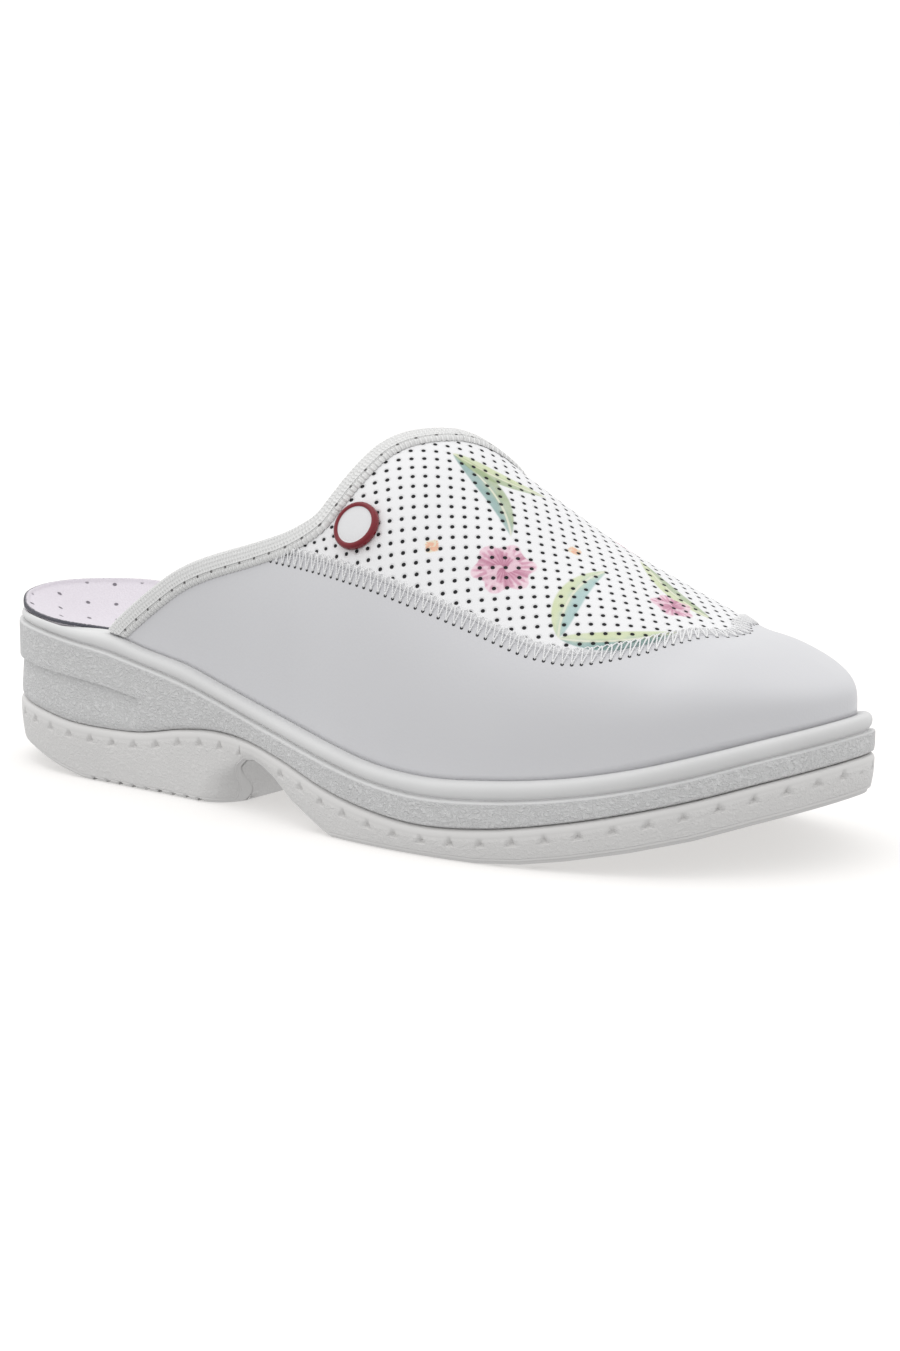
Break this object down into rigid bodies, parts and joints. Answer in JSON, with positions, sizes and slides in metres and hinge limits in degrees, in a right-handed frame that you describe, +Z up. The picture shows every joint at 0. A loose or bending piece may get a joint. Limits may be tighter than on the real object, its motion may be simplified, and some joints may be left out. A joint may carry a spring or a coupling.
{
  "type": "work slipper",
  "caption": "Open-backed work slipper for the right foot: leather upper with a perforated vamp insert, bound collar, cupped insole and a layered sole with a low heel.",
  "frame": {"origin": "on the floor under the middle of the sole's outline", "axes": "+X towards the toe, +Z up, +Y to the inner side of the right foot"},
  "size_m": [0.26, 0.0978, 0.0998],
  "materials": {
    "outsole_pu": "matt polyurethane",
    "midsole_pu": "fine wrinkled grain, smooth rim",
    "insole_microfibre": "napped, punched with small holes",
    "upper_leather": "smooth satin",
    "insert_leather": "printed and perforated",
    "collar_tape": "ribbed elastic tape",
    "badge_plastic": "glossy rim round a white field"
  },
  "bodies": {
    "root": {"outsole": "outsole_pu", "midsole": "midsole_pu", "insole": "insole_microfibre", "upper": "upper_leather", "vamp_insert": "insert_leather", "collar_binding": "collar_tape", "badge": "badge_plastic"}
  },
  "joints": []
}
